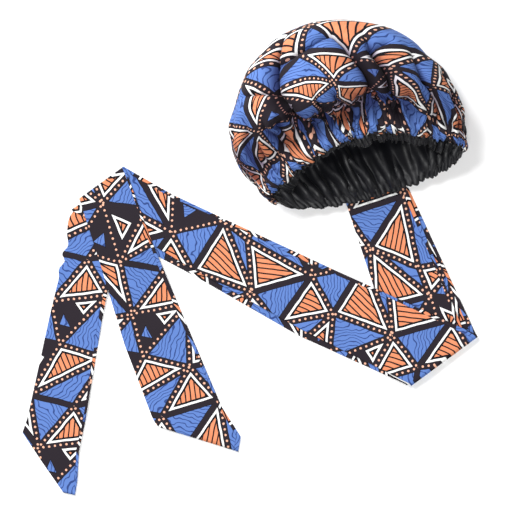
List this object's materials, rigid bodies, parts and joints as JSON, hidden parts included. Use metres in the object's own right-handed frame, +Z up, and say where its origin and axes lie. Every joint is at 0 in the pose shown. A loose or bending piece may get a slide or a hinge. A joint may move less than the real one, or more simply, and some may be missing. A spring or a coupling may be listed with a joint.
{
  "type": "satin bonnet",
  "caption": "Satin-lined bonnet of printed cotton with a gathered elastic casing and two long flat ties, lying flat with its mouth open.",
  "frame": {"origin": "on the table, under the middle of the bonnet and its laid-out ties", "axes": "+Z up from the table, +Y from the ties' cut ends towards the crown, +X to the right as the bonnet is seen from above"},
  "size_m": [0.5463, 0.572, 0.1139],
  "materials": {
    "printed_cotton": "matte",
    "black_satin": "satin"
  },
  "bodies": {
    "root": {"crown_shell": "printed_cotton", "lining": "black_satin", "tie_right": "printed_cotton", "tie_left": "printed_cotton"}
  },
  "joints": []
}
